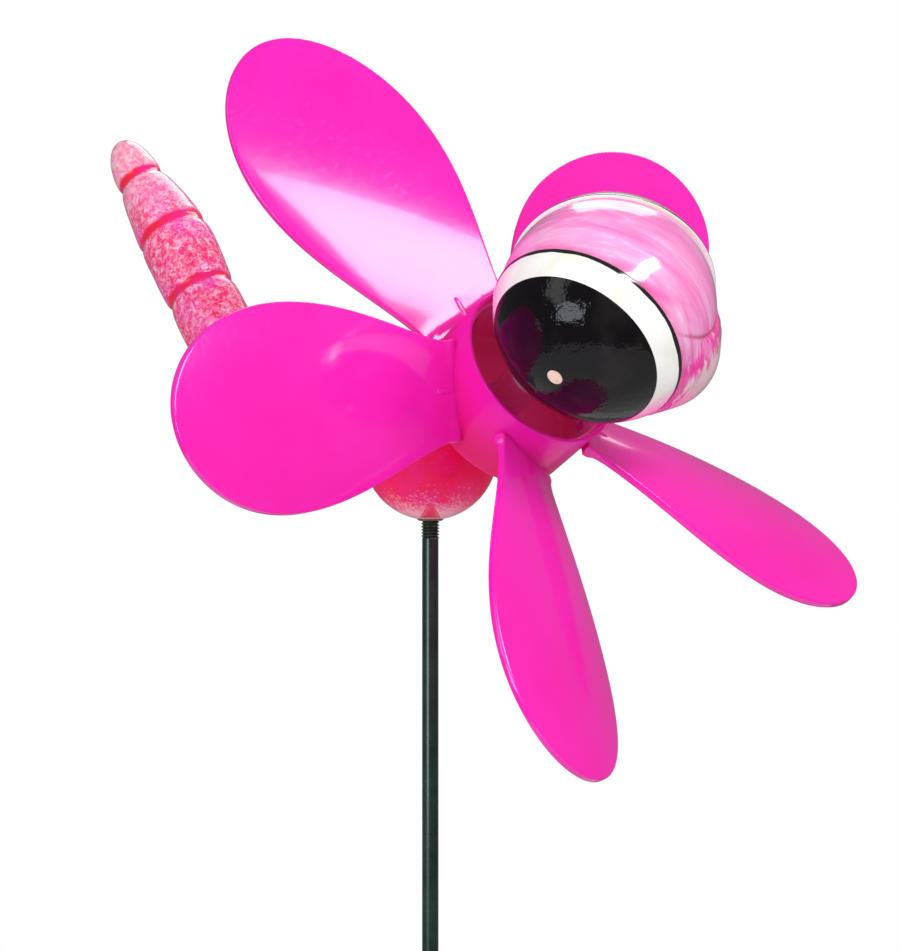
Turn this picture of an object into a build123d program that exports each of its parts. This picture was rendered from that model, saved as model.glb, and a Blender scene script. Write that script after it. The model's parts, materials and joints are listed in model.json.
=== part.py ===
from build123d import *
from math import cos, pi, radians, sin, sqrt
import os

# Dragonfly garden wind spinner on a two-piece rod.  Millimetres, +Z up along the rod.
# The origin is on the rod's axis at the ground line.  The dragonfly faces -Y, its right side is -X.

# Stake rods, with rolled M6 threads
rod_d = 5.35
thread_d = 6.0
thread_root_d = 4.8
thread_pitch = 1.0
buried_length = 180.0
point_length = 15.0
lower_rise = 120.0          # ground line to the joint of the two rods
upper_length = 300.0
coupling_d = 10.0
coupling_length = 30.0

# Body casting: thorax ball and curled tail
thorax_d = 44.0
insert_d = 9.0
insert_length = 14.0
thread_engaged = 12.0
thread_showing = 6.5
tail_start = 11.0
tail_lengths = (20, 28, 28, 28, 28, 27, 27)
tail_slopes = (6, 12, 22, 36, 49, 52, 46)
groove_radii = (9.8, 9.8, 10.4, 11.0, 11.4, 11.5, 12.1, 7.9)
tail_bulge = 1.1
groove_fill = 0.2           # a joint ball stands this much past the barrel ends it fills between
tip_length = 20.4
tip_slope = 48.0

# Axle line, measured from the thorax centre to the rotor centre
rotor_out = 40.4
rotor_up = 19.1
axle_tilt = 29.5
axle_d = 5.0
axle_rear = -40.0           # along the axle from the rotor centre
anchor_d = 8.0
axle_pad_d = 13.0
axle_pad_front = -22.0
spacer_d = 9.0
washer_d = 12.0
washer_thickness = 1.0
end_play = 0.3
retainer_d = 12.0
retainer_thickness = 0.6
retainer_height = 1.8

# Rotor hub
hub_d = 56.0
hub_rear = -10.0
hub_front = 17.0
hub_wall = 2.6
hub_web = 2.4
hub_rim_wall = 1.3
hub_rim_step = 3.0
hub_edge_radius = 1.2
boss_d = 13.0
boss_front = 9.0
bush_d = 8.0
bush_length = 6.5
bush_flange_d = 12.0
bush_flange = 1.2
axle_clearance = 0.05       # radial, bush on axle
socket_reach = 2.0
socket_wall = 0.8
socket_depth = 15.0         # either side of the root radius, before it is trimmed to the hub

# Blades
blade_count = 5
first_blade_angle = 111.1
blade_tip_r = 139.5
blade_root_r = 27.0
blade_widest_r = 94.4
blade_root_half = 15.5
blade_widest_half = 32.5
blade_thickness = 2.4
blade_pitch = 21.9          # at pitch_r
pitch_r = 90.0
blade_twist = -0.084        # degrees per mm outwards
blade_cone = 5.2
blade_sweep = 8.1
blade_camber = 6.7          # fall of the surface at camber_half from its middle line
camber_half = 40.0
blade_bend = -9.3
blade_tab = 1.2             # how far a root reaches in past the hub wall
blade_inner_r = 16.0        # inner end of the root outline, before the hub's bore trims it
root_neck = 1.0             # straight part between the root outline and the petal
outline_depth = 45.0        # half the depth of the prism that cuts the outline
slab_margin = 4.0           # how far the curved slab stands past the outline
root_rib_r = 1.3
root_rib_length = 15.0

# Head
head_gap = 4.6              # from the retainer to the back of the head
head_roll = 46.0
face_d = 68.2
chin_drop = 20.0
chin_r = 20.0
chin_half = 19.0
eye_d = 70.6
eye_offset = 1.0
eye_cut = 13.5              # eye centre to the flat it is glued on
eye_toe = 7.7               # degrees an eye looks backwards
eye_lift = 7.0              # degrees an eye looks upwards
pupil_cut = 21.9
pupil_thickness = 0.5
head_insert_length = 24.0
axle_in_head = 23.0

# Derived places
joint_z = lower_rise
rod_top_z = joint_z + upper_length
thorax_r = thorax_d / 2
socket_z = rod_top_z - thread_engaged
thorax_z = socket_z + sqrt(thorax_r**2 - (insert_d / 2) ** 2)
thorax_centre = Vector(0, 0, thorax_z)
hub_r = hub_d / 2
tilt = radians(axle_tilt)
axle_frame = Plane(
    origin=(0, -rotor_out, thorax_z + rotor_up), x_dir=(1, 0, 0), z_dir=(0, -cos(tilt), sin(tilt))
).location
rear_flange_back = hub_rear - bush_flange
rear_washer_back = rear_flange_back - end_play - washer_thickness
front_flange_face = boss_front + bush_flange
front_washer_back = front_flange_face + end_play
retainer_back = front_washer_back + washer_thickness
head_back = retainer_back + retainer_height + head_gap
axle_front = head_back + axle_in_head
head_frame = axle_frame * Pos(0, 0, head_back + face_d / 2) * Rot(0, 0, head_roll)


def tube(outer_d, inner_d, low, high):
    """A round sleeve along Z between two heights; solid where inner_d is 0."""
    profile = Circle(outer_d / 2)
    if inner_d:
        profile -= Circle(inner_d / 2)
    return Pos(0, 0, low) * extrude(profile, high - low)


def turned(points):
    """Turn a closed outline of (radius, height) points about Z."""
    return revolve(Plane.XZ * make_face(Polyline(*points, close=True)), Axis.Z)


def thread_outline(low, high):
    """Outline of ring-shaped thread crests between two heights, bottom first."""
    points = []
    for turn in range(round((high - low) / thread_pitch)):
        z = low + turn * thread_pitch
        points += [
            (thread_root_d / 2, z),
            (thread_d / 2, z + 0.4 * thread_pitch),
            (thread_d / 2, z + 0.6 * thread_pitch),
        ]
    return points + [(thread_root_d / 2, low + round((high - low) / thread_pitch) * thread_pitch)]


# Stake
def lower_rod():
    tip_z = -buried_length
    thread_z = joint_z - coupling_length / 2
    outline = [(0, tip_z), (rod_d / 2, tip_z + point_length), (rod_d / 2, thread_z)]
    outline += thread_outline(thread_z, joint_z) + [(0, joint_z)]
    return turned(outline)


def upper_rod():
    low_thread_end = joint_z + coupling_length / 2
    high_thread_start = socket_z - thread_showing
    outline = [(0, joint_z)] + thread_outline(joint_z, low_thread_end)
    outline += [(rod_d / 2, low_thread_end), (rod_d / 2, high_thread_start)]
    outline += thread_outline(high_thread_start, rod_top_z) + [(0, rod_top_z)]
    return turned(outline)


def rod_coupling():
    low = joint_z - coupling_length / 2
    sleeve = tube(coupling_d, thread_d, low, low + coupling_length)
    return chamfer(sleeve.edges().filter_by(GeomType.CIRCLE).group_by(SortBy.RADIUS)[-1], 0.8)


# Body casting
def tail_segment(start, slope, length, r_start, r_end):
    """A barrel of the tail, turned about its own middle line."""
    bulge_r = (r_start + r_end) / 2 + tail_bulge
    side = ThreePointArc((r_start, 0), (bulge_r, length * 0.45), (r_end, length))
    ends = Polyline((r_end, length), (0, length), (0, 0), (r_start, 0))
    barrel = revolve(Plane.XZ * make_face(side + ends), Axis.Z)
    return Pos(*start) * Rot(slope - 90, 0, 0) * barrel


def tail_tip(start, slope, length, r_start):
    side = Spline((r_start, 0), (r_start * 0.83, length * 0.62), (0, length), tangents=[(0.12, 1), (-1, 0)])
    ends = Polyline((0, length), (0, 0), (r_start, 0))
    barrel = revolve(Plane.XZ * make_face(side + ends), Axis.Z)
    return Pos(*start) * Rot(slope - 90, 0, 0) * barrel


def tail():
    """The tail's barrels, with a ball at each groove to close the wedge where the tail bends."""
    pieces = []
    y, z = tail_start, thorax_z
    for i, (length, slope) in enumerate(zip(tail_lengths, tail_slopes)):
        pieces.append(tail_segment((0, y, z), slope, length, groove_radii[i], groove_radii[i + 1]))
        y += length * cos(radians(slope))
        z += length * sin(radians(slope))
        pieces.append(Pos(0, y, z) * Sphere(groove_radii[i + 1] + groove_fill))
    pieces.append(tail_tip((0, y, z), tip_slope, tip_length, groove_radii[-1]))
    return pieces


def body_casting():
    casting = Pos(thorax_centre) * Sphere(thorax_r)
    casting += axle_frame * tube(axle_pad_d, 0, axle_rear, axle_pad_front)
    for piece in tail():
        casting += piece
    casting -= tube(insert_d, 0, socket_z - insert_length, socket_z + insert_length)
    return casting - axle_frame * tube(anchor_d, 0, axle_rear, axle_pad_front)


def body_insert():
    return tube(insert_d, thread_d, socket_z, socket_z + insert_length)


# Axle and what sits on it
def axle():
    pin = tube(axle_d, 0, axle_rear, axle_front)
    return axle_frame * chamfer(pin.edges().filter_by(GeomType.CIRCLE), 0.4)


def axle_anchor():
    return axle_frame * tube(anchor_d, axle_d, axle_rear, axle_pad_front)


def spacer():
    return axle_frame * tube(spacer_d, axle_d, axle_pad_front, rear_washer_back)


def washer(back):
    return axle_frame * tube(washer_d, axle_d, back, back + washer_thickness)


def axle_retainer():
    """Dished push-on retainer, its teeth drawn as one lip."""
    outer, inner = retainer_d / 2, axle_d / 2
    low, high = retainer_back, retainer_back + retainer_height
    dish = turned([
        (outer, low), (outer, low + retainer_thickness), (inner + 1.2, low + retainer_thickness),
        (inner + 0.6, high), (inner, high), (inner, low),
    ])
    return axle_frame * dish


# Blades, drawn with the blade pointing along +X and the axle along Z
def blade_surface(r):
    """Place on the blade's middle line at radius r: origin, chord direction, normal, sideways shift."""
    share = (r - blade_root_r) / (blade_tip_r - blade_root_r)
    pitch = radians(blade_pitch + blade_twist * (r - pitch_r))
    chord = Vector(0, cos(pitch), -sin(pitch))
    normal = Vector(0, sin(pitch), cos(pitch))
    cone = radians(blade_cone)
    origin = Vector(r * cos(cone), 0, r * sin(cone)) + normal * (blade_bend * share**2)
    return origin, chord, normal, blade_sweep * share


def blade_slab(thickness):
    """The blade's curved and twisted slab, wider and longer than the blade."""
    half = blade_widest_half + slab_margin
    fall = blade_camber * (half / camber_half) ** 2
    sections = []
    for r in (15, 45, 75, 105, blade_tip_r + 5):
        origin, chord, normal, shift = blade_surface(r)
        edges = []
        for side in (-1, 1):
            rise = side * thickness / 2
            ends = (shift - side * half, rise - fall), (shift + side * half, rise - fall)
            edges.append(ThreePointArc(ends[0], (shift, rise), ends[1]))
        edges.append(Line(edges[0] @ 1, edges[1] @ 0))
        edges.append(Line(edges[1] @ 1, edges[0] @ 0))
        sections.append(Plane(origin=origin, x_dir=chord, z_dir=(1, 0, 0)) * make_face(edges))
    return loft(sections)


def half_width(r):
    if r <= blade_widest_r:
        share = max(0, (r - blade_root_r) / (blade_widest_r - blade_root_r))
        return blade_root_half + (blade_widest_half - blade_root_half) * sin(share * pi / 2) ** 1.3
    return blade_widest_half * sqrt(1 - ((r - blade_widest_r) / (blade_tip_r - blade_widest_r)) ** 2)


def flat(r, across):
    """A point of the blade, r out and so far across, as seen square onto the blade."""
    cone, pitch = radians(blade_cone), radians(blade_pitch)
    return r * cos(cone), across - r * sin(cone) * sin(pitch)


def outline_prism(face):
    """Cut a flat outline right through the blade's curved slab."""
    _, _, normal, _ = blade_surface(pitch_r)
    plane = Plane(origin=(0, 0, 0), x_dir=(1, 0, 0), z_dir=normal)
    return extrude(plane * face, outline_depth, both=True)


def blade_outline():
    """Petal outline: a spline round the sides and the tip, and a straight root."""
    radii = [blade_root_r + i * (blade_widest_r - blade_root_r) / 4 for i in range(5)]
    radii += [blade_widest_r + (blade_tip_r - blade_widest_r) * sin(radians(a)) for a in (22, 45, 68)]
    shift = [blade_surface(r)[3] for r in radii]
    far_side = [flat(r, s + half_width(r)) for r, s in zip(radii, shift)]
    near_side = [flat(r, s - half_width(r)) for r, s in zip(radii, shift)]
    tip = flat(blade_tip_r, blade_sweep)
    curve = Spline(*far_side, tip, *reversed(near_side), tangents=[(1, 0.1), (-1, 0.1)])
    root_r = blade_root_r - root_neck
    root = Polyline(
        near_side[0], flat(root_r, -blade_root_half), flat(blade_inner_r, -blade_root_half),
        flat(blade_inner_r, blade_root_half), flat(root_r, blade_root_half), far_side[0],
    )
    return make_face(curve + root)


def blade_shape():
    prism = outline_prism(blade_outline())
    plate = blade_slab(blade_thickness) & prism
    origin, _, normal, _ = blade_surface(blade_root_r)
    rib = Plane(origin=origin + normal * blade_thickness / 2, z_dir=(1, 0, 0)).location
    plate += rib * extrude(Circle(root_rib_r), root_rib_length)
    return plate - Cylinder(hub_r - hub_wall - blade_tab, 80)


def blade_socket():
    """Raised collar round a blade root, before the root's own space is taken out."""
    half = blade_root_half + socket_wall
    inner, outer = blade_root_r - socket_depth, blade_root_r + socket_depth
    corners = [flat(inner, -half), flat(outer, -half), flat(outer, half), flat(inner, half)]
    prism = outline_prism(make_face(Polyline(*corners, close=True)))
    block = blade_slab(blade_thickness + 2 * socket_wall) & prism
    return block & tube(hub_d + 2 * socket_reach, hub_d - hub_wall, hub_rear, hub_front)


def blade_turn(index):
    return Rot(0, 0, first_blade_angle + index * 360 / blade_count)


# Hub
def hub(blade, socket):
    outer, inner = hub_r, hub_r - hub_wall
    cup = turned([
        (bush_d / 2, hub_rear), (outer, hub_rear), (outer, hub_front),
        (outer - hub_rim_wall, hub_front), (outer - hub_rim_wall, hub_front - hub_rim_step),
        (inner, hub_front - hub_rim_step), (inner, hub_rear + hub_web),
        (boss_d / 2, hub_rear + hub_web), (boss_d / 2, boss_front), (bush_d / 2, boss_front),
    ])
    back_edge = cup.edges().filter_by(GeomType.CIRCLE).group_by(Axis.Z)[0].sort_by(SortBy.RADIUS)[-1]
    cup = fillet(back_edge, hub_edge_radius)
    for index in range(blade_count):
        cup += blade_turn(index) * socket
    for index in range(blade_count):
        cup -= blade_turn(index) * blade
    return axle_frame * cup


def bush(face, direction):
    """Flanged bush; its flange lies on the face and its sleeve runs back into the boss."""
    bore_d = axle_d + 2 * axle_clearance
    flange = sorted((face, face + direction * bush_flange))
    sleeve = sorted((face, face - direction * bush_length))
    return axle_frame * (tube(bush_flange_d, bore_d, *flange) + tube(bush_d, bore_d, *sleeve))


# Head
def eye_frame(side, distance):
    """Frame on an eye's own axis, side +1 for the left eye and -1 for the right."""
    toe, lift = radians(eye_toe), radians(eye_lift)
    outward = Vector(side * cos(toe) * cos(lift), cos(toe) * sin(lift), -sin(toe))
    centre = Vector(side * eye_offset, 0, 0)
    return Plane(origin=centre + outward * distance, z_dir=outward).location


def half_space(side, distance):
    return eye_frame(side, distance) * tube(2 * face_d, 0, 0, face_d)


def head_insert_back():
    return -sqrt((face_d / 2) ** 2 - (anchor_d / 2) ** 2)


def head_casting():
    chin_arc = EllipticalCenterArc((0, 0), chin_half, chin_r, start_angle=0, arc_size=180)
    chin = revolve(make_face(chin_arc + Line((-chin_half, 0), (chin_half, 0))), Axis.X)
    casting = Sphere(face_d / 2) + Pos(0, -chin_drop, 0) * chin
    for side in (-1, 1):
        casting -= half_space(side, eye_cut)
    back = head_insert_back()
    return head_frame * (casting - tube(anchor_d, 0, back - 5, back + head_insert_length))


def head_insert():
    back = head_insert_back()
    return head_frame * tube(anchor_d, axle_d, back, back + head_insert_length)


def eye(side):
    ball = eye_frame(side, 0) * Sphere(eye_d / 2)
    return head_frame * (ball & half_space(side, eye_cut))


def pupil(side):
    shell = Sphere(eye_d / 2 + pupil_thickness) - Sphere(eye_d / 2)
    return head_frame * (eye_frame(side, 0) * shell & half_space(side, pupil_cut))


def all_parts():
    blade = blade_shape()
    parts = {
        "lower_rod": lower_rod(),
        "upper_rod": upper_rod(),
        "rod_coupling": rod_coupling(),
        "body_casting": body_casting(),
        "body_insert": body_insert(),
        "axle": axle(),
        "axle_anchor": axle_anchor(),
        "spacer": spacer(),
        "rear_washer": washer(rear_washer_back),
        "front_washer": washer(front_washer_back),
        "axle_retainer": axle_retainer(),
        "hub": hub(blade, blade_socket()),
        "rear_bush": bush(hub_rear, -1),
        "front_bush": bush(boss_front, 1),
        "head_casting": head_casting(),
        "head_insert": head_insert(),
        "eye_right": eye(-1),
        "eye_left": eye(1),
        "pupil_right": pupil(-1),
        "pupil_left": pupil(1),
    }
    for index in range(blade_count):
        parts[f"blade_{index + 1}"] = axle_frame * blade_turn(index) * blade
    return parts


os.makedirs("parts", exist_ok=True)
for name, shape in all_parts().items():
    export_step(shape, f"parts/{name}.step")
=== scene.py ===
"""Looks of a dragonfly garden wind spinner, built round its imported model. Metres, +Z up.

Pieces are drawn in millimetres in their own frames. Their meshes are placed in the shared frame,
and each point keeps its own-frame position in the attribute "place", which the materials read.
"""
import json
from math import asin, cos, exp, pi, radians, sin, sqrt

import bmesh
import bpy
from mathutils import Matrix, Vector, noise


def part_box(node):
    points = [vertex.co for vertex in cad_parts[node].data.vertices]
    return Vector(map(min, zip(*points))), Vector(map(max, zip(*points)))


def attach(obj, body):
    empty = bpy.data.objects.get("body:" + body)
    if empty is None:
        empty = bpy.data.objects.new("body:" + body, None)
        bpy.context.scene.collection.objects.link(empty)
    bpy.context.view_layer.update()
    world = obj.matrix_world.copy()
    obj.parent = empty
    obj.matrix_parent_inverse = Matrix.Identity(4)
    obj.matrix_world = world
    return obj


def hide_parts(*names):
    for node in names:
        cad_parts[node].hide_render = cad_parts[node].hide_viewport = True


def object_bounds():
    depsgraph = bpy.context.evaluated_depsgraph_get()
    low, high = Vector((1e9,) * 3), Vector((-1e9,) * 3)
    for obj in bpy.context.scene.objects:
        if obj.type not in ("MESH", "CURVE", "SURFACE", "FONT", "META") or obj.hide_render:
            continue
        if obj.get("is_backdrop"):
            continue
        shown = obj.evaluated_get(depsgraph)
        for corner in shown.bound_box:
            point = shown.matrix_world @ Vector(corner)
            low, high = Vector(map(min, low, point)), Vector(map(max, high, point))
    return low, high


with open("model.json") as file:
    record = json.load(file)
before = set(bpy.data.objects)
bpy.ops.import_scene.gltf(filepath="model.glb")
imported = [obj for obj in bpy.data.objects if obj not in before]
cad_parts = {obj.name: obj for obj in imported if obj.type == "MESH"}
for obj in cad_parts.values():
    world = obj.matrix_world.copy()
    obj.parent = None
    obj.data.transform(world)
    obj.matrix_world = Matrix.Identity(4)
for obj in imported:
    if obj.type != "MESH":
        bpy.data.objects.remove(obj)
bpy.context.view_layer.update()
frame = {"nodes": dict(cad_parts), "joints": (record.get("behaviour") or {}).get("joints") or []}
MM = 0.001

# ---------------------------------------------------------------- sizes, millimetres
# Rods
ROD_R = 2.675
THREAD_R = 3.0
THREAD_ROOT_R = 2.4
THREAD_PITCH = 1.0
THREAD_SHOWING = 6.5
THREAD_FADE = 0.5
THREAD_MARGIN = 0.6
THREAD_STEP = 0.1
ROD_STEP = 4.0
POINT_LENGTH = 15.0
SLEEVE_R = 5.0
SLEEVE_BORE_R = 3.0
SLEEVE_CHAMFER = 0.8

# Body
THORAX_R = 22.0
INSERT_R = 4.5
INSERT_OVERLAP = 0.15
DRIP_FOOT = 0.9
DRIP_HEIGHT = 6.8
DRIP_HALF = 3.0
DRIP_SUNK = 0.2
DRIP_RELIEF = 0.3
DRIP_LIP = ((3.05, -20.8), (4.5, -21.0, 0.4), (4.1, -22.1, 0.5), (3.05, -22.3))
TAIL_START = 11.0
TAIL_LENGTHS = (20, 28, 28, 28, 28, 27, 27, 20.4)
TAIL_SLOPES = (6, 12, 22, 36, 49, 52, 46, 48)
GROOVE_RADII = (9.8, 9.8, 10.4, 11.0, 11.4, 11.5, 12.1, 7.9)
TAIL_BULGE = 1.1
TAIL_FLARE = 2.2
GROOVE_DEPTH = 0.75
TIP_GROOVE_DEPTH = 0.7
GROOVE_HALF = 1.35
TAIL_RIPPLE = 0.012
RIPPLE_LENGTH = 9.0
PAD_R = 6.5
PAD_BORE_R = 2.6
PAD_FRONT = -22.0
PAD_DEPTH = 8.0

# Hub, along the axle from the rotor centre
HUB_R = 28.0
HUB_REAR = -10.0
HUB_FRONT = 17.0
HUB_WALL = 2.6
HUB_WEB = 2.4
HUB_RIM_WALL = 1.3
HUB_RIM_STEP = 3.0
BOSS_R = 6.5
BOSS_FRONT = 9.0
BUSH_R = 4.0
SMALL_BEVEL = 0.15
ROOT_FLARE = 0.75
ROOT_FLARE_REACH = 1.6

# Blades
BLADE_COUNT = 5
FIRST_BLADE = 111.1
TIP_R = 139.5
ROOT_R = 27.0
ROOT_DEPTH = 1.6
WIDEST_R = 94.4
ROOT_HALF = 15.5
WIDEST_HALF = 32.5
BLADE_THICK = 2.4
BLADE_EDGE = 0.55
SPINE_STEP = 3.0
SPINE_FROM_ROOT = 12.0
SPINE_PAST_WIDEST = 10.0
PITCH = 21.9
PITCH_R = 90.0
TWIST = -0.084
CONE = 5.2
SWEEP = 8.1
CAMBER = 6.7
CAMBER_HALF = 40.0
BEND = -9.3
RIB_START = 26.0
RIB_LENGTH = 9.5
RIB_R = 1.35
RIB_TAPER = 0.4
RIB_SUNK = 0.45

# Head
HEAD_FORWARD = 52.0
HEAD_ROLL = 46.0
FACE_R = 34.1
CHIN_DROP = 20.0
CHIN_R = 20.0
CHIN_HALF = 19.0
CHIN_FILLET = 1.6
CHIN_FILLET_REACH = 2.2
EYE_R = 35.3
EYE_OFFSET = 1.0
EYE_CUT = 13.5
EYE_TOE = 7.7
EYE_LIFT = 7.0
RIM_REACH = 2.6
PUPIL_CUT = 21.9
PUPIL_THICK = 0.2
LIP = 0.5
LIP_REACH = 3.5
GLINT_R = 2.4
MOUTH_HALF = 19.5
MOUTH_DROP = 27.5
MOUTH_RISE = 13.0
MOUTH_DEPTH = 0.5
MOUTH_SPREAD = 0.5
HEAD_RINGS = 150
HEAD_TURNS = 480

# Camera: azimuth in degrees from the front, the rest in millimetres
CAMERA_AZIMUTH = -40.1
CAMERA_DISTANCE = 1300.0
CAMERA_ASIDE = 6.44
CAMERA_DROP = 7.4
CAMERA_LENS = 150.6
CAMERA_SENSOR = 36.0

# Studio: the world's strength for diffuse and for glossy rays, the floor's radius in metres
AMBIENT = 0.55
MIRRORED = 0.16
FLOOR_R = 0.9
LIGHTS_RISE = 0.02

# Softboxes: azimuth and elevation in degrees, distance and size in metres, watts, roll, colour
WHITE = (1, 1, 1)
SOFTBOXES = (
    ("key", -2, 34, 1.3, (1.0, 0.26), 10.5, 17, WHITE),
    ("fill", CAMERA_AZIMUTH - 50, 25, 1.5, (0.5, 0.9), 3.2, 0, WHITE),
    ("window", CAMERA_AZIMUTH - 36, -3, 1.3, (0.62, 0.36), 4.5, 0, (0.8, 0.9, 1.0)),
    ("back", CAMERA_AZIMUTH + 170, 45, 1.4, (0.8, 0.8), 6, 0, WHITE),
)


# ---------------------------------------------------------------- frames
def frame_matrix(origin, x_dir, z_dir):
    """A frame with its Z along z_dir and its X as near to x_dir as that allows."""
    z = Vector(z_dir).normalized()
    y = z.cross(Vector(x_dir)).normalized()
    x = y.cross(z)
    matrix = Matrix((x, y, z)).transposed().to_4x4()
    matrix.translation = origin
    return matrix


def turned(degrees):
    """A turn about Z."""
    return Matrix.Rotation(radians(degrees), 4, "Z")


spin = frame["joints"][0]
ROTOR = frame_matrix(Vector(spin["pos_m"]), (1, 0, 0), Vector(spin["axis"]))
HEAD = ROTOR @ Matrix.Translation((0, 0, HEAD_FORWARD * MM)) @ turned(HEAD_ROLL)
socket_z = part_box("body_insert")[0].z
thorax_centre = Vector((0, 0, socket_z + MM * sqrt(THORAX_R**2 - INSERT_R**2)))
THORAX = Matrix.Translation(thorax_centre)


# ---------------------------------------------------------------- mesh helpers
def piece(name, matrix, verts, faces, paint, body, slot, replaces=(), attributes=None):
    """A smooth-shaded mesh piece; verts are in millimetres in its own frame."""
    mesh = bpy.data.meshes.new(name)
    own = [Vector(v) * MM for v in verts]
    mesh.from_pydata([matrix @ v for v in own], [], faces)
    place = mesh.attributes.new("place", "FLOAT_VECTOR", "POINT")
    place.data.foreach_set("vector", [c for v in own for c in v])
    for key, values in (attributes or {}).items():
        mesh.attributes.new(key, "FLOAT", "POINT").data.foreach_set("value", values)
    work = bmesh.new()
    work.from_mesh(mesh)
    bmesh.ops.remove_doubles(work, verts=work.verts, dist=1e-7)
    bmesh.ops.recalc_face_normals(work, faces=work.faces)
    work.to_mesh(mesh)
    work.free()
    mesh.shade_smooth()
    mesh.materials.append(paint)
    thing = bpy.data.objects.new(name, mesh)
    bpy.context.scene.collection.objects.link(thing)
    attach(thing, body)
    if replaces:
        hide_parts(*replaces)
    return thing


def sharpen(thing, angle=40):
    """Keep edges sharp where faces meet at more than an angle."""
    thing.data.set_sharp_from_angle(angle=radians(angle))
    return thing


def grid(rows, wrap=True, cap_ends=False):
    """Vertices and quads of a list of rows of points, each row of one length."""
    count = len(rows[0])
    verts = [point for row in rows for point in row]
    faces = []
    for i in range(len(rows) - 1):
        for j in range(count if wrap else count - 1):
            k = (j + 1) % count
            faces.append((i * count + j, i * count + k, (i + 1) * count + k, (i + 1) * count + j))
    if cap_ends:
        faces.append(tuple(range(count)))
        faces.append(tuple(range((len(rows) - 1) * count, len(rows) * count)))
    return verts, faces


def merge(*meshes):
    """Several (vertices, faces) pairs as one."""
    verts, faces = [], []
    for more_verts, more_faces in meshes:
        start = len(verts)
        verts += more_verts
        faces += [tuple(start + i for i in face) for face in more_faces]
    return verts, faces


def rounded(points, radius, steps=5):
    """A closed (radius, height) outline with rounded corners.

    A corner's own radius may be its third number.
    """
    out = []
    for i, point in enumerate(points):
        here = Vector(point[:2])
        before = Vector(points[i - 1][:2]) - here
        after = Vector(points[(i + 1) % len(points)][:2]) - here
        r = point[2] if len(point) > 2 else radius
        reach = min(r, before.length * 0.45, after.length * 0.45)
        if reach < 1e-6 or abs(before.normalized().dot(after.normalized())) > 0.999:
            out.append(tuple(here))
            continue
        start = here + before.normalized() * reach
        end = here + after.normalized() * reach
        for k in range(steps + 1):
            t = k / steps
            out.append(tuple(start * (1 - t) ** 2 + here * 2 * t * (1 - t) + end * t * t))
    return out


def circle(turns):
    """Angles of evenly spaced points round a circle."""
    return [2 * pi * j / turns for j in range(turns)]


def lathe(outline, turns=96, closed=True):
    """Turn a (radius, height) outline about Z."""
    angles = circle(turns)
    rows = [[(r * cos(a), r * sin(a), z) for a in angles] for r, z in outline]
    if closed:
        rows.append(rows[0])
    return grid(rows)


# ---------------------------------------------------------------- materials
class Paint:
    """A node material with one Principled shader, and short ways to add nodes to it."""

    def __init__(self, name, own_frame=True, **sockets):
        self.material = bpy.data.materials.new(name)
        self.material.use_nodes = True
        self.nodes = self.material.node_tree.nodes
        self.links = self.material.node_tree.links
        self.shader = next(n for n in self.nodes if n.type == "BSDF_PRINCIPLED")
        if own_frame:
            self.coords = self.add("Attribute", {}, attribute_name="place").outputs["Vector"]
        else:
            self.coords = self.add("TexCoord", {}).outputs["Object"]
        for key, value in sockets.items():
            self.shader.inputs[key.replace("_", " ")].default_value = value

    def add(self, kind, inputs, **settings):
        node = self.nodes.new("ShaderNode" + kind)
        for key, value in settings.items():
            setattr(node, key, value)
        for key, value in inputs.items():
            if isinstance(value, bpy.types.NodeSocket):
                self.links.new(value, node.inputs[key])
            else:
                node.inputs[key].default_value = value
        return node

    def noise(self, scale, detail=3.0, roughness=0.55, vector=None, distortion=0.0):
        inputs = {
            "Vector": vector or self.coords, "Scale": scale, "Detail": detail,
            "Roughness": roughness, "Distortion": distortion,
        }
        return self.add("TexNoise", inputs).outputs[0]

    def cells(self, scale):
        """Distance to the nearest of scattered points."""
        return self.add("TexVoronoi", {"Vector": self.coords, "Scale": scale}).outputs[0]

    def math(self, operation, a, b=0.0, c=0.0):
        return self.add("Math", {0: a, 1: b, 2: c}, operation=operation).outputs[0]

    def span(self, value, low, high):
        """0 below low, 1 above high, smooth between."""
        inputs = {"Value": value, "From Min": low, "From Max": high}
        return self.add("MapRange", inputs, interpolation_type="SMOOTHSTEP").outputs[0]

    def mix(self, share, a, b, strength=None):
        """Colour a where share is 0, b (at most as strong as strength) where it is 1."""
        if strength is not None:
            share = self.math("MULTIPLY", share, strength)
        node = self.add("Mix", {0: share}, data_type="RGBA")
        for socket, value in ((node.inputs[6], a), (node.inputs[7], b)):
            if isinstance(value, bpy.types.NodeSocket):
                self.links.new(value, socket)
            else:
                socket.default_value = (*value, 1)
        return node.outputs[2]

    def attribute(self, name):
        return self.add("Attribute", {}, attribute_name=name).outputs["Fac"]

    def split(self):
        return self.add("SeparateXYZ", {0: self.coords}).outputs

    def axis_distance(self, x, y):
        """Distance from the Z axis."""
        squares = self.math("ADD", self.math("MULTIPLY", x, x), self.math("MULTIPLY", y, y))
        return self.math("SQRT", squares)

    def stretch(self, scale):
        return self.add("Mapping", {"Vector": self.coords, "Scale": scale}).outputs[0]

    def color(self, value):
        self.links.new(value, self.shader.inputs["Base Color"])

    def roughness(self, value):
        self.links.new(value, self.shader.inputs["Roughness"])

    def scatter(self, weight, scale):
        """Light scattered under the surface; scale is in millimetres."""
        self.shader.inputs["Subsurface Weight"].default_value = weight
        self.shader.inputs["Subsurface Scale"].default_value = scale * MM

    def bump(self, height, distance, strength=1.0):
        """distance is in millimetres."""
        node = self.add("Bump", {"Height": height, "Distance": distance * MM, "Strength": strength})
        self.links.new(node.outputs[0], self.shader.inputs["Normal"])


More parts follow.
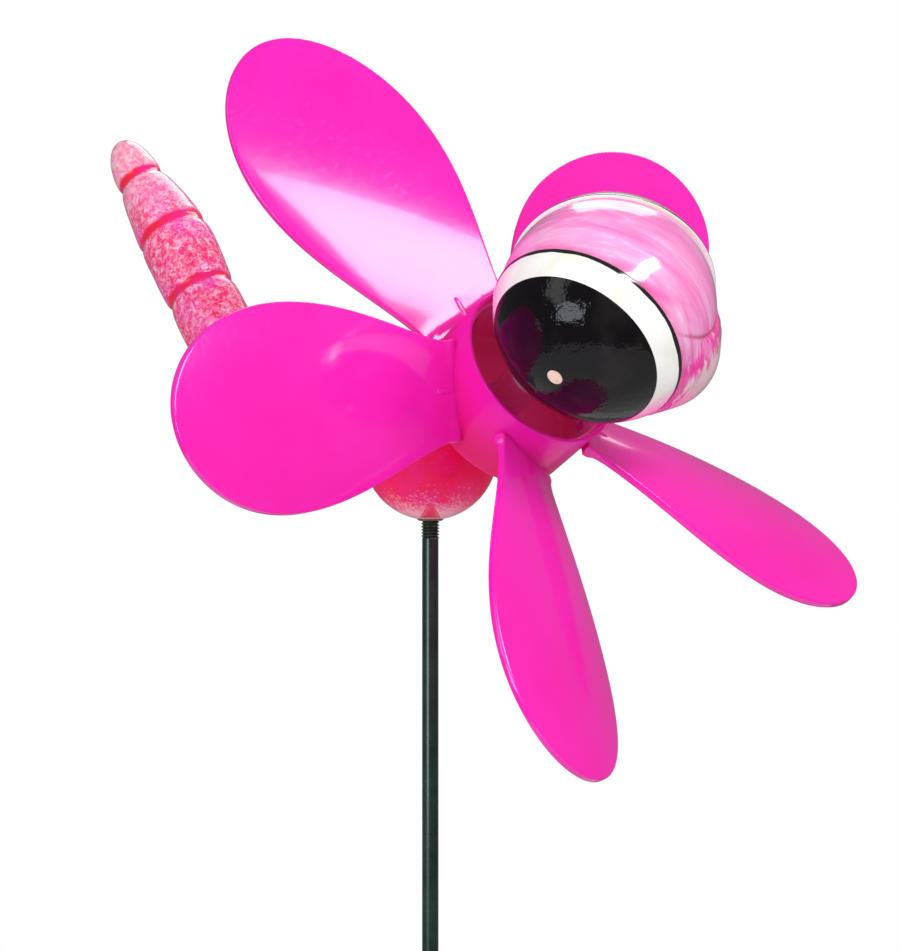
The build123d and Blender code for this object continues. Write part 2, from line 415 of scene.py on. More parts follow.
def rotor_plastic():
    """Moulded magenta plastic: faint flow marks, fine scratches and a slight ripple."""
    p = Paint("rotor_plastic", Roughness=0.16, Coat_Weight=0.3, Coat_Roughness=0.04)
    cloud = p.noise(22, 3)
    p.color(p.mix(p.span(cloud, 0.35, 0.7), (0.93, 0.01, 0.42), (0.96, 0.016, 0.47)))
    scuff = p.noise(900, 2, vector=p.stretch((1, 0.15, 1)))
    p.roughness(p.math("MULTIPLY_ADD", p.span(scuff, 0.55, 0.8), 0.1, 0.13))
    ripple = p.math("ADD", p.noise(60, 2), p.math("MULTIPLY", p.noise(1200, 2), 0.06))
    p.bump(ripple, 0.22, 0.35)
    return p.material


def hub_plastic():
    """The rotor's plastic, with light scattered under the surface and with light and shade painted
    in: a redder painted glow inside the cup for light shone through the thin wall, and painted
    shade on the outside towards the rear.
    """
    p = Paint("hub_plastic", Roughness=0.2, Specular_IOR_Level=0.18)
    p.scatter(0.7, 2.5)
    p.shader.inputs["Subsurface Radius"].default_value = (1.0, 0.3, 0.6)
    x, y, z = p.split()
    inside = p.span(p.axis_distance(x, y), (HUB_R - 1.0) * MM, (HUB_R - 2.2) * MM)
    # Painted shade: the outside of the cup darkens and reddens towards its rear, away from the key
    # light.
    outer_painted_shade = p.mix(p.span(z, 14 * MM, -8 * MM), (0.95, 0.012, 0.42), (0.86, 0.008, 0.18))
    # Painted light: the cup's inside gets a redder colour standing for light shone through the thin
    # wall and bounced between the magenta faces.
    inner = p.mix(p.span(p.noise(35, 3), 0.38, 0.62), (1.0, 0.1, 0.36), (1.0, 0.12, 0.5))
    p.color(p.mix(inside, outer_painted_shade, inner))
    p.bump(p.noise(60, 2), 0.22, 0.3)
    return p.material


def speckled(p, base, pale, share_low, share_high):
    """Sponged speckle, as a colour and the dabs' height: pale dabs and crumbs over a base."""
    warp = p.noise(420, 4, 0.7, distortion=0.6)
    crumbs = p.noise(900, 3, 0.8)
    dabs = p.math("ADD", p.math("MULTIPLY", warp, 0.6), p.math("MULTIPLY", crumbs, 0.4))
    return p.mix(p.span(dabs, share_low, share_high), base, pale), dabs


def body_resin():
    """Sponged resin: hot pink under pale dabs, red in the grooves, paler towards the tip."""
    p = Paint("body_resin", Roughness=0.2, Coat_Weight=0.25, Coat_Roughness=0.06)
    p.scatter(0.12, 2)
    along = p.attribute("along")
    groove = p.attribute("groove")
    patch = p.span(p.noise(70, 3), 0.4, 0.62)
    deep = p.mix(patch, (0.95, 0.02, 0.17), (0.95, 0.05, 0.4))
    light = p.mix(p.span(p.noise(300, 2), 0.4, 0.6), (1.0, 0.3, 0.5), (1.0, 0.58, 0.74))
    tail_color, dabs = speckled(p, deep, light, 0.43, 0.62)
    tip_color = p.mix(p.span(dabs, 0.42, 0.6), (0.95, 0.24, 0.38), (1.0, 0.6, 0.7))
    color = p.mix(p.span(along, 150, 205), tail_color, tip_color)
    spots = p.span(p.cells(520), 0.1, 0.22)
    color = p.mix(p.math("SUBTRACT", 1.0, spots), color, (0.95, 0.6, 0.66), 0.5)
    fleck = p.span(p.noise(1500, 2, 0.6), 0.66, 0.72)
    color = p.mix(fleck, color, (0.35, 0.22, 0.24), 0.55)
    ring = p.mix(p.span(p.noise(90, 2), 0.42, 0.6), (0.9, 0.012, 0.055), (0.88, 0.015, 0.22))
    p.color(p.mix(groove, color, ring))
    p.bump(dabs, 0.12, 0.5)
    return p.material


def thorax_resin():
    """The body's ball: strong red-pink above, sparse pale dots, and a pale painted reflection along
    its bottom.
    """
    p = Paint("thorax_resin", Roughness=0.3, Specular_IOR_Level=0.2)
    p.scatter(0.12, 2)
    height = p.split()[2]
    cloud = p.span(p.noise(75, 3), 0.42, 0.62)
    deep = p.mix(cloud, (0.95, 0.006, 0.12), (0.93, 0.01, 0.22))
    grain = p.noise(1100, 3, 0.75)
    dabs = p.math("ADD", p.math("MULTIPLY", grain, 0.75), p.math("MULTIPLY", p.noise(200, 2), 0.25))
    # Depth below the centre, roughened by the grain, which places the painted reflection at the
    # bottom.
    depth = p.math("MULTIPLY", height, -1.0)
    low = p.math("MULTIPLY_ADD", p.math("SUBTRACT", grain, 0.5), 12 * MM, depth)
    sponge = p.math("MULTIPLY_ADD", p.span(height, -8 * MM, -21 * MM), -0.17, 0.615)
    speck = p.span(p.math("SUBTRACT", dabs, sponge), -0.01, 0.05)
    color = p.mix(speck, deep, (0.93, 0.25, 0.38), 0.7)
    # Painted reflection: the pale pink at the bottom stands for the gloss's pale sheen along the
    # ball's lower edge.
    p.color(p.mix(p.span(low, 15.5 * MM, 21 * MM), color, (1.0, 0.46, 0.56), 0.9))
    p.bump(dabs, 0.12, 0.5)
    return p.material


def drip_resin():
    """A run of glossy resin, hot pink, brown at its lip."""
    p = Paint("drip_resin", Roughness=0.15)
    base = p.mix(p.span(p.noise(500, 3), 0.4, 0.6), (0.88, 0.015, 0.1), (0.93, 0.06, 0.2))
    p.color(p.mix(p.span(p.split()[2], -20.9 * MM, -21.5 * MM), base, (0.16, 0.07, 0.04)))
    p.bump(p.noise(600, 3), 0.3, 0.6)
    return p.material


def head_resin():
    """Brushed resin: pale pink strokes running over the head, and magenta painted shade in the
    crease beside the eye lines.
    """
    p = Paint("head_resin", Roughness=0.14, Coat_Weight=0.55, Coat_Roughness=0.04)
    p.scatter(0.12, 2)
    x, y, z = p.split()
    around = p.math("ARCTAN2", z, y)
    across, along = p.math("MULTIPLY", x, 1 / MM), p.math("MULTIPLY", around, 5.0)
    stroke = p.add("CombineXYZ", {0: across, 1: along}).outputs[0]
    broad = p.noise(0.16, 4, 0.6, vector=stroke, distortion=0.9)
    fine = p.noise(0.9, 3, 0.6, vector=stroke, distortion=0.5)
    base = p.mix(p.span(broad, 0.34, 0.62), (0.88, 0.2, 0.52), (0.92, 0.38, 0.68))
    white = p.math("ADD", p.math("MULTIPLY", broad, 0.55), p.math("MULTIPLY", fine, 0.45))
    color = p.mix(p.span(white, 0.52, 0.68), base, (0.97, 0.7, 0.86), 0.55)
    # Painted shade: the magenta beside each eye line stands for the shade in the crease at the foot
    # of the raised eye dome.
    rim = p.math("MULTIPLY", p.attribute("rim"), p.span(p.noise(55, 3), 0.32, 0.6))
    color = p.mix(rim, color, (0.88, 0.06, 0.33), 0.8)
    ragged = p.math("MULTIPLY_ADD", p.math("SUBTRACT", fine, 0.5), 14 * MM, y)
    blotch = p.span(p.noise(60, 3), 0.36, 0.48)
    patch = p.math("MULTIPLY", p.span(ragged, -25 * MM, -29 * MM), blotch)
    color = p.mix(patch, color, (0.86, 0.03, 0.34), 0.9)
    pale = p.span(ragged, -31 * MM, -34 * MM)
    color = p.mix(pale, color, (0.9, 0.68, 0.68), 0.85)
    p.color(p.mix(p.attribute("crease"), color, (0.6, 0.045, 0.17)))
    p.bump(fine, 0.1, 0.35)
    return p.material


def eye_white():
    """Cream gloss paint with faint brush waves, and a black line brushed round the dome's foot."""
    p = Paint("eye_white", Roughness=0.12, Coat_Weight=0.9, Coat_Roughness=0.04)
    cream = p.mix(p.span(p.noise(38, 4), 0.48, 0.74), (0.95, 0.94, 0.9), (0.84, 0.8, 0.66))
    height = p.math("MULTIPLY_ADD", p.noise(65, 3), -1.3 * MM, p.split()[2])
    below = p.span(height, (EYE_CUT + 0.75) * MM, (EYE_CUT + 0.6) * MM)
    above = p.span(p.split()[2], (EYE_CUT + 0.02) * MM, (EYE_CUT + 0.12) * MM)
    p.color(p.mix(p.math("MULTIPLY", below, above), cream, (0.012, 0.009, 0.011)))
    p.bump(p.noise(150, 3), 0.2, 0.4)
    return p.material


def pupil_black():
    """Thick gloss black, brushed on, so that reflections break up a little."""
    p = Paint("pupil_black", Specular_IOR_Level=0.25)
    p.color(p.mix(p.span(p.noise(60, 3), 0.45, 0.7), (0.004, 0.003, 0.004), (0.012, 0.009, 0.01)))
    p.roughness(p.math("MULTIPLY_ADD", p.noise(90, 3), 0.05, 0.01))
    p.bump(p.noise(70, 5, 0.62), 0.9, 0.7)
    return p.material


def glint_cream():
    """Cream paint of the dot on each pupil."""
    p = Paint("glint_cream", Roughness=0.25)
    p.color(p.mix(p.span(p.noise(400, 3), 0.4, 0.7), (0.95, 0.76, 0.6), (0.85, 0.58, 0.42)))
    p.bump(p.noise(600, 2), 0.1, 0.5)
    return p.material


def rod_paint():
    """Dark green semi-gloss paint, slightly uneven, worn to brown on the thread crests."""
    p = Paint("rod_paint", Roughness=0.28, Coat_Weight=0.3, Coat_Roughness=0.1)
    x, y, z = p.split()
    radius = p.axis_distance(x, y)
    thread = p.span(radius, 2.72 * MM, 2.98 * MM)
    crest = p.math("MULTIPLY", thread, p.span(radius, 3.4 * MM, 3.2 * MM))
    green = p.mix(p.span(p.noise(140, 4), 0.35, 0.7), (0.006, 0.022, 0.015), (0.012, 0.042, 0.028))
    worn = p.math("MULTIPLY", crest, p.span(p.noise(800, 3), 0.4, 0.6))
    p.color(p.mix(worn, green, (0.1, 0.06, 0.03)))
    p.bump(p.noise(500, 3), 0.04, 0.5)
    return p.material


def metal(name, color, worn, roughness, grain=(1, 1, 0.05)):
    """Turned or plated metal with fine grain and a little tarnish."""
    p = Paint(name, own_frame=False, Metallic=1.0, Roughness=roughness)
    p.color(p.mix(p.span(p.noise(220, 4), 0.45, 0.75), color, worn))
    fine = p.noise(2500, 2, vector=p.stretch(grain))
    p.roughness(p.math("MULTIPLY_ADD", fine, 0.2, roughness - 0.08))
    p.bump(fine, 0.02, 0.4)
    return p.material


def nylon():
    """Natural nylon, slightly cloudy."""
    p = Paint("nylon", own_frame=False, Roughness=0.45)
    p.scatter(0.2, 1.5)
    p.color(p.mix(p.noise(180, 3), (0.8, 0.79, 0.74), (0.7, 0.68, 0.62)))
    p.bump(p.noise(1500, 2), 0.02, 0.5)
    return p.material


def floor_paint():
    """Plain pale grey."""
    p = Paint("floor_paint", own_frame=False, Roughness=0.7)
    p.color(p.mix(p.noise(3, 2), (0.72, 0.72, 0.72), (0.76, 0.76, 0.76)))
    return p.material


PAINTS = {
    "rotor": rotor_plastic(), "hub": hub_plastic(),
    "tail": body_resin(), "thorax": thorax_resin(), "drip": drip_resin(), "head": head_resin(),
    "white": eye_white(), "black": pupil_black(), "glint": glint_cream(),
    "rod": rod_paint(), "nylon": nylon(),
    "brass": metal("brass", (0.55, 0.36, 0.14), (0.3, 0.17, 0.06), 0.35),
    "steel": metal("steel", (0.62, 0.62, 0.6), (0.4, 0.38, 0.35), 0.28),
}


# ---------------------------------------------------------------- rods
def rod_heights(low, high, thread_spans):
    """Heights of a rod's rings, close together where it is threaded."""
    heights = []
    z = low
    while z < high - 1e-6:
        fine = any(a - THREAD_MARGIN <= z <= b + THREAD_MARGIN for a, b in thread_spans)
        heights.append(z)
        z += THREAD_STEP if fine else ROD_STEP
        for a, _ in thread_spans:
            if not fine and heights[-1] < a - THREAD_MARGIN < z:
                z = a - THREAD_MARGIN
    return heights + [high]


def thread_lift(z, share, thread_spans):
    """What a rolled thread adds to the rod's radius at a height and a share of the turn."""
    wave = ((z / THREAD_PITCH - share) % 1) * 2
    wave = min(1, max(0, abs(wave - 1) * 1.3 - 0.15))
    lift = THREAD_ROOT_R + (THREAD_R - THREAD_ROOT_R) * wave - ROD_R
    total = 0.0
    for a, b in thread_spans:
        fade_in = min(1, max(0, (z - a) / THREAD_FADE))
        fade_out = min(1, max(0, (b - z) / THREAD_FADE))
        total += fade_in * fade_out * lift
    return total


def threaded_rod(name, low, high, thread_spans, tip=0):
    """A rod with rolled helical threads, as rings of points whose radius follows the helix."""
    angles = circle(48)
    rows = [[(0, 0, low)] * len(angles)]
    for z in rod_heights(low, high, thread_spans):
        row = []
        for j, angle in enumerate(angles):
            r = ROD_R + thread_lift(z, j / len(angles), thread_spans)
            if tip and z < low + tip:
                r *= max(0.02, (z - low) / tip)
            row.append((r * cos(angle), r * sin(angle), z))
        rows.append(row)
    rows.append([(0, 0, high)] * len(angles))
    rod = piece(name, Matrix.Identity(4), *grid(rows), PAINTS["rod"], "base", "rod_paint", [name])
    return sharpen(rod, 50)


def rods():
    """Both halves of the stake and the sleeve that joins them."""
    nodes = ("lower_rod", "upper_rod", "rod_coupling")
    lower, upper, sleeve = ([corner.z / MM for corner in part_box(node)] for node in nodes)
    sleeve_low, sleeve_high = sleeve
    threaded_rod("lower_rod", *lower, [(sleeve_low, lower[1] + 1)], POINT_LENGTH)
    spans = [(upper[0] - 1, sleeve_high), (socket_z / MM - THREAD_SHOWING, upper[1] + 1)]
    threaded_rod("upper_rod", *upper, spans)
    tube = lathe(rounded([
        (SLEEVE_BORE_R, sleeve_low), (SLEEVE_R, sleeve_low, SLEEVE_CHAMFER),
        (SLEEVE_R, sleeve_high, SLEEVE_CHAMFER), (SLEEVE_BORE_R, sleeve_high),
    ], 0.25))
    name = "rod_coupling"
    sharpen(piece(name, Matrix.Identity(4), *tube, PAINTS["rod"], "base", "rod_paint", [name]))


# ---------------------------------------------------------------- body
def tail_points():
    """Groove places in the body's symmetry plane, as (y, z) from the thorax centre."""
    y, z = TAIL_START, 0.0
    points = [Vector((y, z))]
    for length, slope in zip(TAIL_LENGTHS, TAIL_SLOPES):
        y += length * cos(radians(slope))
        z += length * sin(radians(slope))
        points.append(Vector((y, z)))
    return points


def smooth_point(points, i, t):
    """Catmull-Rom point between points i and i + 1, and its direction."""
    before = points[i - 1] if i else points[0] * 2 - points[1]
    after = points[i + 2] if i + 2 < len(points) else points[-1] * 2 - points[-2]
    a, b = points[i], points[i + 1]
    where = 0.5 * (2 * a + (b - before) * t + (2 * before - 5 * a + 4 * b - after) * t**2
                   + (3 * a - before - 3 * b + after) * t**3)
    way = 0.5 * ((b - before) + (2 * before - 5 * a + 4 * b - after) * 2 * t
                 + (3 * a - before - 3 * b + after) * 3 * t**2)
    return where, way.normalized()


def tail_radius(i, t):
    """Radius and groove depth share at share t of barrel i."""
    length = TAIL_LENGTHS[i]
    from_start, from_end = t * length, (1 - t) * length
    start = GROOVE_RADII[i]
    if i == len(TAIL_LENGTHS) - 1:
        base = start * (1 - t**2.2) ** 0.45
        shoulder = 1 - exp(-max(0, from_start - GROOVE_HALF))
        return base + TIP_GROOVE_DEPTH * shoulder * (1 - t) ** 0.5, 1 - shoulder
    end = GROOVE_RADII[i + 1]
    base = start + (end - start) * t + (TAIL_BULGE - GROOVE_DEPTH) * 4 * t * (1 - t)
    low = 1 - exp(-max(0, from_start - GROOVE_HALF) / 0.5)
    high = 1 - exp(-max(0, from_end - GROOVE_HALF) / 1.4)
    flare = TAIL_FLARE * exp(-max(0, from_start - 8) / 3) if i == 0 else 0
    return base + GROOVE_DEPTH * low * high + flare, 1 - min(low, high)


def tail():
    """The banded tail, with its length from the thorax and its grooves as attributes."""
    points = tail_points()
    rows, along, groove = [], [], []
    angles, steps = circle(72), 44
    travelled = 0
    for i, length in enumerate(TAIL_LENGTHS):
        last = i == len(TAIL_LENGTHS) - 1
        wobble = [0.5 + 0.5 * noise.noise(Vector((cos(a) * 2, sin(a) * 2, i))) for a in angles]
        for k in range(steps + 1 if last else steps):
            t = k / steps
            if last:
                t = sin(t * pi / 2)
            where, way = smooth_point(points, i, t)
            side = Vector((-way.y, way.x))
            radius, depth = tail_radius(i, t)
            here = travelled + t * length
            row = []
            for a in angles:
                ripple = noise.noise(Vector((cos(a), sin(a), here / RIPPLE_LENGTH)))
                r = radius * (1 + TAIL_RIPPLE * ripple)
                across = r * cos(a)
                row.append((r * sin(a), where.x + side.x * across, where.y + side.y * across))
            rows.append(row)
            along += [here] * len(angles)
            plain = i == 0 and t < 0.5
            groove += [0 if plain else min(1, max(0, depth * 2.2 - 0.55 - 0.3 * w)) for w in wobble]
        travelled += length
    mesh = grid(rows, cap_ends=True)
    marks = {"along": along, "groove": groove}
    piece("tail", THORAX, *mesh, PAINTS["tail"], "base", "body_resin", ["body_casting"], marks)


def thorax():
    """The ball, open where the rod's insert sits."""
    start = asin(INSERT_R / THORAX_R)
    mouth_r, mouth_z = INSERT_R - INSERT_OVERLAP, -THORAX_R * cos(start)
    outline = [(mouth_r, mouth_z + 4), (mouth_r, mouth_z + 0.2)]
    for k in range(97):
        angle = start + (pi - start) * k / 96
        outline.append((THORAX_R * sin(angle), -THORAX_R * cos(angle)))
    ball = lathe(outline, 160, closed=False)
    piece("thorax", THORAX, *ball, PAINTS["thorax"], "base", "body_resin")


def axle_pad():
    """A round pad on the ball's front, where the axle enters."""
    rear = PAD_FRONT - PAD_DEPTH
    outline = [(PAD_BORE_R, rear), (PAD_R, rear), (PAD_R, PAD_FRONT, 1.4), (PAD_BORE_R, PAD_FRONT)]
    pad = lathe(rounded(outline, 0.3))
    piece("axle_pad", ROTOR, *pad, PAINTS["thorax"], "base", "body_resin")


def mould_drip():
    """Resin round the mouth of the rod socket, with a tongue up the ball's front right."""
    rows = []
    azimuth = radians(CAMERA_AZIMUTH - 90)
    out = Vector((cos(azimuth), sin(azimuth), 0))
    across = Vector((-out.y, out.x, 0))
    for k in range(15):
        t = k / 14
        height = -THORAX_R + DRIP_FOOT + DRIP_HEIGHT * t
        width = DRIP_HALF * (1 - t) ** 1.2 + 0.3 * (1 - t)
        reach = sqrt(THORAX_R**2 - height**2) - DRIP_SUNK
        row = []
        for a in circle(20):
            outward = out * (reach + width * DRIP_RELIEF * cos(a))
            row.append(tuple(outward + across * width * sin(a) + Vector((0, 0, height))))
        rows.append(row)
    drip = merge(grid(rows, cap_ends=True), lathe(rounded(DRIP_LIP, 0.2)))
    piece("mould_drip", THORAX, *drip, PAINTS["drip"], "base", "body_resin")


# ---------------------------------------------------------------- hub and blades
def hub():
    """The open cup with its thinner rim, web and boss."""
    inner, rim = HUB_R - HUB_WALL, HUB_R - HUB_RIM_WALL
    step, web = HUB_FRONT - HUB_RIM_STEP, HUB_REAR + HUB_WEB
    outline = rounded([
        (BUSH_R, HUB_REAR, 0.3), (HUB_R, HUB_REAR, 1.4), (HUB_R, HUB_FRONT, 0.45),
        (rim, HUB_FRONT, 0.45), (rim, step, 0.2), (inner, step, 0.4), (inner, web, 2.0),
        (BOSS_R, web, 1.0), (BOSS_R, BOSS_FRONT, 0.5), (BUSH_R, BOSS_FRONT, 0.3),
    ], 0.4)
    cup = lathe(outline, 160)
    sharpen(piece("hub", ROTOR, *cup, PAINTS["hub"], "rotor", "rotor_plastic", ["hub"]), 60)


def half_width(r):
    """Half the blade's width at radius r."""
    if r <= WIDEST_R:
        share = max(0, (r - ROOT_R) / (WIDEST_R - ROOT_R))
        return ROOT_HALF + (WIDEST_HALF - ROOT_HALF) * sin(share * pi / 2) ** 1.3
    return WIDEST_HALF * sqrt(max(0, 1 - ((r - WIDEST_R) / (TIP_R - WIDEST_R)) ** 2))


def blade_point(r, s, lift):
    """Point at radius r, s across the blade and lift above its middle surface."""
    share = (r - ROOT_R) / (TIP_R - ROOT_R)
    pitch = radians(PITCH + TWIST * (r - PITCH_R))
    chord = Vector((0, cos(pitch), -sin(pitch)))
    normal = Vector((0, sin(pitch), cos(pitch)))
    cone = radians(CONE)
    origin = Vector((r * cos(cone), 0, r * sin(cone))) + normal * BEND * share**2
    camber = CAMBER * (s / CAMBER_HALF) ** 2
    return origin + chord * (s + SWEEP * share) + normal * (lift - camber)


def flared(r, s, lift):
    """A blade point that swells smoothly where the root meets the hub."""
    swell = ROOT_FLARE * exp(-max(0, r - HUB_R + 0.4) / ROOT_FLARE_REACH)
    return blade_point(r, s * (1 + swell / ROOT_HALF), lift * (1 + 2 * swell / BLADE_THICK))


def slab(outline, spine, thickness, edge):
    """A curved plate with rounded edges: loops that step in from the outline to the spine."""
    flat, half = thickness / 2 - edge, thickness / 2
    bends = [pi / 8 * k for k in range(5)]
    steps = [(edge * (1 - cos(a)), 0.0, flat + edge * sin(a)) for a in bends]
    steps += [(edge + 0.5, 0.0, half), (SPINE_STEP, 0.0, half)]
    steps += [(SPINE_STEP, share, half) for share in (0.12, 0.25, 0.38, 0.5, 0.62, 0.74, 0.87, 1.0)]
    (spine_low_r, spine_low_s), (spine_high_r, spine_high_s) = spine
    loops = []
    for inset, share, lift in steps:
        row = []
        for r, s in outline:
            nearest_r = max(spine_low_r, min(spine_high_r, r))
            nearest_s = max(spine_low_s, min(spine_high_s, s))
            toward = Vector((nearest_r, nearest_s)) - Vector((r, s))
            step = max(min(1, inset / max(toward.length, 1e-6)), share)
            row.append((r + toward.x * step, s + toward.y * step, lift))
        loops.append(row)
    back = [[(r, s, -lift) for r, s, lift in row] for row in reversed(loops)]
    return grid([[tuple(flared(*point)) for point in row] for row in back + loops])


def blade_outline():
    """(radius, across) points once round a blade, from its root."""
    root = ROOT_R - ROOT_DEPTH
    side = [root + (WIDEST_R - root) * (k / 60) ** 1.6 for k in range(60)]
    near = [(r, -half_width(r)) for r in side]
    far = [(r, half_width(r)) for r in reversed(side)]
    tip_angles = [pi * k / 72 for k in range(73)]
    tip = [(WIDEST_R + (TIP_R - WIDEST_R) * sin(a), -WIDEST_HALF * cos(a)) for a in tip_angles]
    end = [(root, ROOT_HALF - 2 * ROOT_HALF * k / 12) for k in range(1, 12)]
    return near + tip + far + end


def root_rib():
    """A short tapered ridge from the hub out along the middle of a blade's front."""
    rows = []
    for k in range(25):
        t = k / 24
        size = sqrt(max(0, 1 - (2 * t - 1) ** 8)) * (RIB_R - RIB_TAPER * t)
        r = RIB_START + RIB_LENGTH * t
        straight = -SWEEP * (r - ROOT_R) / (TIP_R - ROOT_R)
        centre = blade_point(r, straight, BLADE_THICK / 2 - RIB_SUNK)
        row = []
        for a in circle(16):
            row.append(tuple(centre + Vector((0, cos(a), sin(a) * 0.9)) * max(size, 0.01)))
        rows.append(row)
    return grid(rows, cap_ends=True)


def blades():
    """The same blade turned to each of its places."""
    spine = ((ROOT_R + SPINE_FROM_ROOT, 0), (WIDEST_R + SPINE_PAST_WIDEST, 0))
    body = merge(slab(blade_outline(), spine, BLADE_THICK, BLADE_EDGE), root_rib())
    for index in range(BLADE_COUNT):
        place = ROTOR @ turned(FIRST_BLADE + index * 360 / BLADE_COUNT)
        name = f"blade_{index + 1}"
        piece(name, place, *body, PAINTS["rotor"], "rotor", "rotor_plastic", [name])


# ---------------------------------------------------------------- head
def eye_way(side):
    """Direction in which an eye looks, in the head's frame."""
    toe, lift = radians(EYE_TOE), radians(EYE_LIFT)
    return Vector((side * cos(toe) * cos(lift), cos(toe) * sin(lift), -sin(toe)))


def past_cut(point, side):
    """How far a point of the head lies beyond the plane that an eye sits on."""
    return (point - Vector((side * EYE_OFFSET, 0, 0))).dot(eye_way(side)) - EYE_CUT


def eye_matrix(side):
    """An eye's frame: Z along its look."""
    return HEAD @ frame_matrix(Vector((side * EYE_OFFSET * MM, 0, 0)), (0, 1, 0), eye_way(side))


def chin_reach(way):
    """How far the chin's flattened ball reaches from the head's centre along a direction."""
    a = (way.x / CHIN_HALF) ** 2 + (way.y / CHIN_R) ** 2 + (way.z / CHIN_R) ** 2
    b = way.y * CHIN_DROP / CHIN_R**2
    c = (CHIN_DROP / CHIN_R) ** 2 - 1
    inside = b * b - a * c
    return (-b + sqrt(inside)) / a if inside > 0 else 0


def mouth_groove(point):
    """Depth share of the curved mouth line at a point of the head."""
    if point.z <= 0 or abs(point.x) >= MOUTH_HALF:
        return 0.0
    share = point.x / MOUTH_HALF
    line = -MOUTH_DROP + MOUTH_RISE * share**2
    return exp(-(((point.y - line) / MOUTH_SPREAD) ** 2)) * (1 - share**4)


def head():
    """Face ball and chin in one skin, cut flat under the eyes, with a lip round each cut."""
    rows, rim, crease = [], [], []
    for i in range(HEAD_RINGS + 1):
        polar = pi * i / HEAD_RINGS
        row = []
        for a in circle(HEAD_TURNS):
            way = Vector((cos(polar), sin(polar) * cos(a), sin(polar) * sin(a)))
            chin = chin_reach(way)
            reach = max(FACE_R, chin)
            if chin > 0:
                reach += CHIN_FILLET * exp(-((FACE_R - chin) / CHIN_FILLET_REACH) ** 2)
            if chin < FACE_R:
                gap = -max(past_cut(way * reach, side) for side in (-1, 1))
                reach += LIP * exp(-(max(0, gap) / LIP_REACH) ** 2)
            point = way * reach
            mouth = mouth_groove(point)
            point -= way * MOUTH_DEPTH * mouth
            levels = []
            for side in (-1, 1):
                level = past_cut(point, side)
                point -= eye_way(side) * max(0, level)
                levels.append(min(0, level))
            row.append(tuple(point))
            # Closeness to an eye's cut, which the head's material uses for painted shade in the
            # crease round each eye.
            rim.append(exp(-(max(levels) / RIM_REACH) ** 2))
            crease.append(mouth)
        rows.append(row)
    marks = {"rim": rim, "crease": crease}
    piece("head", HEAD, *grid(rows), PAINTS["head"], "base", "head_resin", ["head_casting"], marks)


def cap(radius, edge_angle, thickness, rounding, steps=60):
    """A spherical cap's outline, its edge rolled in to a rim of the given thickness."""
    angles = [edge_angle * k / steps for k in range(steps + 1)]
    outline = [(radius * sin(a), radius * cos(a)) for a in angles]
    r, z = outline[-1]
    roll_r, roll_z = r - rounding * sin(edge_angle), z - rounding * cos(edge_angle)
    for k in range(1, 7):
        a = edge_angle + (pi / 2) * k / 6
        outline.append((roll_r + rounding * sin(a), roll_z + rounding * cos(a)))
    r, z = outline[-1]
    outline.append((r - thickness, z - thickness * 0.3))
    return outline


def cut_angle(cut):
    """Angle from an eye's look to the circle where a plane at height cut meets the dome."""
    return asin(sqrt(EYE_R**2 - cut**2) / EYE_R)


def eyes():
    """On each side a white dome, a black shell over its crown and a small cream dot."""
    dome = cap(EYE_R, cut_angle(EYE_CUT) - 0.014, 4, 0.45)
    pupil = cap(EYE_R + PUPIL_THICK - 0.05, cut_angle(PUPIL_CUT), 1.2, 0.4)
    dot = cap(EYE_R + PUPIL_THICK + 0.15, GLINT_R / EYE_R, 0.4, 0.15, 8)
    parts = (
        ("eye", dome, 160, "white", "eye_white", True),
        ("pupil", pupil, 160, "black", "pupil_black", True),
        ("glint", dot, 40, "glint", "eye_white", False),
    )
    for side, where in ((-1, "right"), (1, "left")):
        for kind, outline, turns, look, slot, in_cad in parts:
            name = f"{kind}_{where}"
            shell = lathe(outline, turns, closed=False)
            nodes = [name] if in_cad else []
            piece(name, eye_matrix(side), *shell, PAINTS[look], "base", slot, nodes)


# ---------------------------------------------------------------- carried-over CAD pieces
def small_parts():
    """Axle fittings keep their solid shapes; bevels soften their edges."""
    looks = {
        "axle": "steel", "rear_washer": "steel", "front_washer": "steel", "axle_retainer": "steel",
        "axle_anchor": "brass", "body_insert": "brass", "head_insert": "brass",
        "spacer": "nylon", "rear_bush": "nylon", "front_bush": "nylon",
    }
    for node, look in looks.items():
        thing = frame["nodes"][node]
        thing.data.materials.clear()
        thing.data.materials.append(PAINTS[look])
        bevel = thing.modifiers.new("bevel", "BEVEL")
        bevel.width = SMALL_BEVEL * MM
        bevel.segments = 2
        bevel.limit_method = "ANGLE"
        bevel.angle_limit = radians(50)


# ---------------------------------------------------------------- stage
def area_light(name, azimuth, elevation, distance, size, power, roll, color):
    """A softbox that faces the body."""
    target = thorax_centre + Vector((0, 0, LIGHTS_RISE))
    a, e = radians(azimuth), radians(elevation)
    where = target + Vector((sin(a) * cos(e), -cos(a) * cos(e), sin(e))) * distance
    data = bpy.data.lights.new(name, "AREA")
    data.shape = "RECTANGLE"
    data.size, data.size_y = size
    data.energy = power
    data.color = color
    light = bpy.data.objects.new(name, data)
    bpy.context.scene.collection.objects.link(light)
    facing = (target - where).to_track_quat("-Z", "Y").to_matrix().to_4x4()
    light.matrix_world = Matrix.Translation(where) @ facing @ turned(roll)


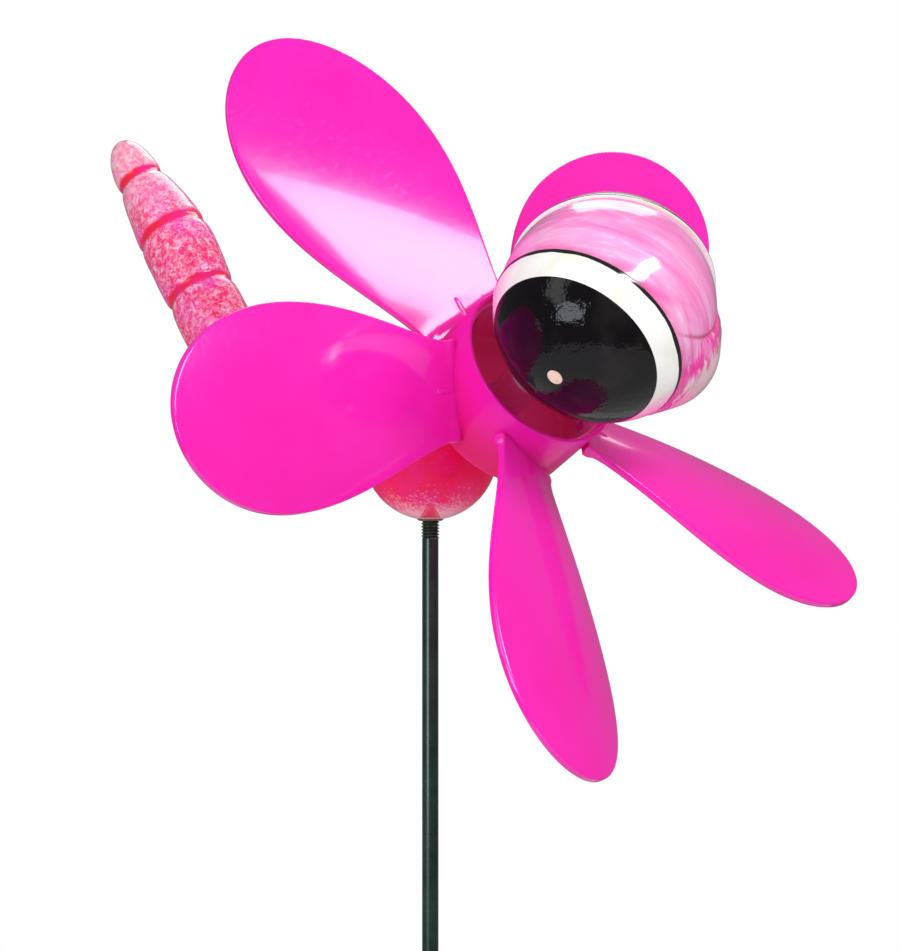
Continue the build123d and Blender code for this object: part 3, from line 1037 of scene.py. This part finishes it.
def studio_world():
    """White where the camera looks past the object, and a dimmer soft light from all round."""
    world = bpy.data.worlds.new("studio")
    world.use_nodes = True
    nodes, links = world.node_tree.nodes, world.node_tree.links
    background = nodes["Background"]
    path = nodes.new("ShaderNodeLightPath")
    value = AMBIENT
    for ray, level in (("Is Glossy Ray", MIRRORED), ("Is Camera Ray", 1.0)):
        step = nodes.new("ShaderNodeMix")
        links.new(path.outputs[ray], step.inputs[0])
        step.inputs[3].default_value = level
        if isinstance(value, float):
            step.inputs[2].default_value = value
        else:
            links.new(value, step.inputs[2])
        value = step.outputs[0]
    links.new(value, background.inputs["Strength"])
    background.inputs["Color"].default_value = (1, 1, 1, 1)
    return world


def stage():
    """Softboxes, world and a round floor under the stake's point."""
    scene = bpy.context.scene
    scene.view_settings.view_transform = "Standard"
    scene.world = studio_world()
    for softbox in SOFTBOXES:
        area_light(*softbox)
    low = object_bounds()[0].z - 1 * MM
    mesh = bpy.data.meshes.new("floor")
    rim = [(FLOOR_R * cos(a), FLOOR_R * sin(a), low) for a in circle(96)]
    mesh.from_pydata(rim, [], [tuple(range(len(rim)))])
    mesh.materials.append(floor_paint())
    floor = bpy.data.objects.new("floor", mesh)
    scene.collection.objects.link(floor)
    floor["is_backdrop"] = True


def camera():
    """A level long-lens view of the bug from its front right."""
    azimuth = radians(CAMERA_AZIMUTH)
    toward = Vector((sin(azimuth), -cos(azimuth), 0))
    right = Vector((cos(azimuth), sin(azimuth), 0))
    data = bpy.data.cameras.new("camera")
    data.lens = CAMERA_LENS
    data.sensor_width = CAMERA_SENSOR
    data.clip_start = 0.01
    data.clip_end = 50
    view = bpy.data.objects.new("camera", data)
    bpy.context.scene.collection.objects.link(view)
    height = thorax_centre.z - CAMERA_DROP * MM
    place = (toward * CAMERA_DISTANCE + right * CAMERA_ASIDE) * MM
    view.location = (place.x, place.y, height)
    view.rotation_euler = (-toward).to_track_quat("-Z", "Y").to_euler()
    bpy.context.scene.camera = view


camera()
stage()
rods()
thorax()
tail()
axle_pad()
mould_drip()
hub()
blades()
head()
eyes()
small_parts()
